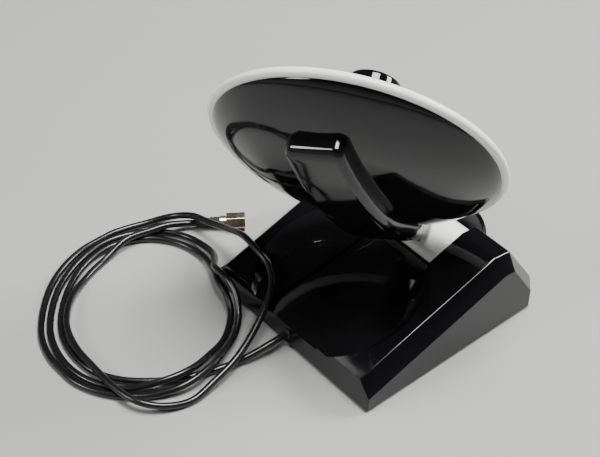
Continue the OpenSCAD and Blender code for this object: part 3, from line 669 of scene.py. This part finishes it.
# The dish, the feed, the base and the plug
class ANTENNA_OT_dish_back(PieceOperator, bpy.types.Operator):
    """Revolves the black bowl and sweeps the S-shaped arm over its back"""

    bl_idname = "antenna.dish_back"
    bl_label = "Bowl and arm"

    def make(self, context):
        d = dish_sizes()
        edge_r = bowl_edge()
        steps = 40
        turns = [math.sin(math.pi / 2 * i / steps) for i in range(steps + 1)]
        outer = [(edge_r * t, bowl_height(edge_r * t)) for t in turns]
        inner_r = edge_r - d.bowl_wall
        inner = [(inner_r * t, bowl_height(edge_r * t) + d.bowl_wall * (1 - 0.6 * t ** 8))
                 for t in reversed(turns)]
        bm = bmesh.new()
        revolve(bm, outer + inner, DISH_STEPS, closed=False)
        bmesh.ops.transform(bm, matrix=dish_frame(), verts=bm.verts[:])
        make_piece("dish_bowl", bm, "dish", "black_gloss", ["dish_back_shell"])
        self.arm(d)

    @staticmethod
    def arm(d):
        """Closed sections across the arm, bridged from its root to its blunt end."""
        end = d.reach + 40 * MM
        blunt = 5 * MM
        places = [(u * MM, 0.0) for u in ARM_STATIONS]
        for degrees in (12, 25, 38, 50, 62, 72, 80, 86, 89):
            q = math.radians(degrees)
            places.append((end - blunt + blunt * math.sin(q), blunt * (1 - math.cos(q))))
        bm = bmesh.new()
        loops = []
        for u, inset in places:
            ring = [bm.verts.new((x, n, u)) for x, n in arm_outline(d, u, inset, end)]
            loops.append([bm.edges.new((a, b)) for a, b in zip(ring, ring[1:] + ring[:1])])
        for a, b in zip(loops, loops[1:]):
            bmesh.ops.bridge_loops(bm, edges=a + b)
        for loop in (loops[0], loops[-1]):
            bmesh.ops.holes_fill(bm, edges=loop, sides=0)
        bmesh.ops.recalc_face_normals(bm, faces=bm.faces[:])
        add_boss(bm)
        bmesh.ops.transform(bm, matrix=arm_frame(), verts=bm.verts[:])
        make_piece("dish_arm", bm, "dish", "black_gloss", sharp=40)


class ANTENNA_OT_dish_front(PieceOperator, bpy.types.Operator):
    """Revolves the white face and its rolled rim"""

    bl_idname = "antenna.dish_front"
    bl_label = "Face and rim"

    def make(self, context):
        d = dish_sizes()
        face_r = d.radius - 4 * MM
        rise = d.face_depth + 0.5 * MM
        sphere = (face_r ** 2 + rise ** 2) / (2 * rise)
        hole, roll, half, lip = 3.2 * MM, 2.2 * MM, d.bead / 2, 1.9 * MM
        edge = face_r - 0.6 * MM
        steps = 30

        def cap(from_r, to_r, radius, depth):
            """Points along a spherical cap from one radius to another."""
            return [(r, cap_height(r, radius, depth))
                    for r in (from_r + (to_r - from_r) * i / steps for i in range(steps + 1))]

        back_sphere = sphere + d.face_wall
        profile = cap(hole, edge - 1.2 * MM, sphere, d.face_depth)
        profile += [(edge, half - 1.1 * MM), (edge + 0.9 * MM, half - 0.35 * MM)]
        profile += [(d.radius - roll + roll * math.cos(math.radians(q)),
                     (half if q > 0 else lip) * math.sin(math.radians(q)))
                    for q in (90, 75, 60, 45, 30, 15, 0, -15, -30, -45, -60, -75, -88)]
        profile += [(edge + 0.3 * MM, -lip), (edge, -lip + 0.3 * MM)]
        profile += cap(edge - 0.2 * MM, hole, back_sphere, d.face_depth + d.face_wall)
        bm = bmesh.new()
        revolve(bm, profile, DISH_STEPS)
        bmesh.ops.transform(bm, matrix=dish_frame(), verts=bm.verts[:])
        make_piece("dish_face", bm, "dish", "white_gloss", ["dish_front_shell"], sharp=50)


class ANTENNA_OT_feed(PieceOperator, bpy.types.Operator):
    """Revolves the feed housing with its rounded front edge"""

    bl_idname = "antenna.feed"
    bl_label = "Feed"

    def make(self, context):
        f = context.scene.antenna_feed
        foot, inner = f.reach - f.height, f.radius - f.wall
        chamfer = 0.4 * MM
        profile = [(inner, foot), (f.radius - chamfer, foot), (f.radius, foot + chamfer)]
        profile += arc((f.radius - f.edge, f.reach - f.edge), f.edge, 0, 90, 10)
        profile += [(0, f.reach), (0, f.reach - f.wall), (inner, f.reach - f.wall)]
        bm = bmesh.new()
        revolve(bm, profile, FEED_STEPS)
        bmesh.ops.transform(bm, matrix=dish_frame(), verts=bm.verts[:])
        make_piece("feed_cover", bm, "dish", "black_gloss", ["feed_housing"])


class ANTENNA_OT_base(PieceOperator, bpy.types.Operator):
    """Rounds the edges of the base, its rear cover and the barrel"""

    bl_idname = "antenna.base"
    bl_label = "Base and hinge"

    def make(self, context):
        softened("base_shell", "base_top_shell", "base", "black_gloss", 0.6 * MM, angle=22, clear=2.2 * MM)
        softened("rear_cover", "hinge_rear_cover", "base", "black_gloss", 0.5 * MM)
        softened("barrel", "hinge_barrel", "hinge_head", "white_gloss", 0.4 * MM)


class ANTENNA_OT_plug(PieceOperator, bpy.types.Operator):
    """Rounds the plug's coupling nut and turns its tapered boot"""

    bl_idname = "antenna.plug"
    bl_label = "Plug"

    def make(self, context):
        softened("coupling_nut", "plug_nut", "base", "plug_plating", 0.7 * MM, 4)
        start = Vector(LEAD_ROUTE[-1]) * MM
        bore, thin, thick, boot_l = 1.75 * MM, 1.95 * MM, 2.75 * MM, 8 * MM
        grooves = 4
        profile = [(bore, -4 * MM), (thin, -4 * MM), (thin + 0.1 * MM, -3.6 * MM)]
        for groove in range(grooves):
            at = (-2.6 + 1.9 * groove) * MM
            swell = thin + (thick - thin) * (groove + 1) / grooves
            profile += [(swell, at), (swell, at + 1.1 * MM), (swell - 0.35 * MM, at + 1.35 * MM),
                        (swell - 0.35 * MM, at + 1.65 * MM)]
        profile += [(thick, 5.2 * MM), (thick, boot_l - 0.4 * MM)]
        profile += [(thick - 0.4 * MM, boot_l), (bore, boot_l)]
        bm = bmesh.new()
        revolve(bm, profile, BOOT_STEPS)
        heading = Matrix.Rotation(math.radians(PLUG_HEADING), 4, "Z") @ Matrix.Rotation(math.pi / 2, 4, "Y")
        bmesh.ops.transform(bm, verts=bm.verts[:], matrix=Matrix.Translation(start) @ heading)
        make_piece("plug_boot", bm, "base", "black_rubber", ["plug_sleeve"], sharp=40)


class ANTENNA_OT_finishes(PieceOperator, bpy.types.Operator):
    """Gives every CAD node that stays the finish of its slot"""

    bl_idname = "antenna.finishes"
    bl_label = "Finishes"

    def make(self, context):
        slots = {part["node"]: part["material_slot"] for part in frame["record"]["subparts"]}
        for name, node in frame["nodes"].items():
            node.data.materials.clear()
            node.data.materials.append(finishes()[slots[name]])


class ANTENNA_PT_panel(bpy.types.Panel):
    """Lists the pieces and their sizes in the sidebar"""

    bl_idname = "ANTENNA_PT_panel"
    bl_label = "Antenna"
    bl_space_type = "VIEW_3D"
    bl_region_type = "UI"
    bl_category = "Antenna"

    def draw(self, context):
        scene = context.scene
        for title, group in (("Dish", scene.antenna_dish), ("Feed", scene.antenna_feed),
                             ("Lead", scene.antenna_lead), ("Colours", scene.antenna_colours)):
            column = self.layout.column(heading=title)
            for key in group.bl_rna.properties.keys():
                if key not in ("rna_type", "name"):
                    column.prop(group, key)
        for operator in OPERATORS:
            self.layout.operator(operator.bl_idname)


OPERATORS = (ANTENNA_OT_stage, ANTENNA_OT_finishes, ANTENNA_OT_plug, ANTENNA_OT_lead, ANTENNA_OT_dish_back,
             ANTENNA_OT_dish_front, ANTENNA_OT_feed, ANTENNA_OT_base)
GROUPS = {"antenna_dish": AntennaDishSizes, "antenna_feed": AntennaFeedSizes,
          "antenna_lead": AntennaLeadSizes, "antenna_colours": AntennaColours}


def register():
    for group in GROUPS.values():
        bpy.utils.register_class(group)
    for name, group in GROUPS.items():
        setattr(bpy.types.Scene, name, bpy.props.PointerProperty(type=group))
    for operator in OPERATORS:
        bpy.utils.register_class(operator)
    bpy.utils.register_class(ANTENNA_PT_panel)


def unregister():
    bpy.utils.unregister_class(ANTENNA_PT_panel)
    for operator in reversed(OPERATORS):
        bpy.utils.unregister_class(operator)
    for name, group in GROUPS.items():
        delattr(bpy.types.Scene, name)
        bpy.utils.unregister_class(group)


def main():
    register()
    bpy.ops.antenna.stage()
    bpy.ops.antenna.finishes()
    bpy.ops.antenna.plug()
    bpy.ops.antenna.lead()
    bpy.ops.antenna.dish_back()
    bpy.ops.antenna.dish_front()
    bpy.ops.antenna.feed()
    bpy.ops.antenna.base()


if __name__ == "__main__":
    main()
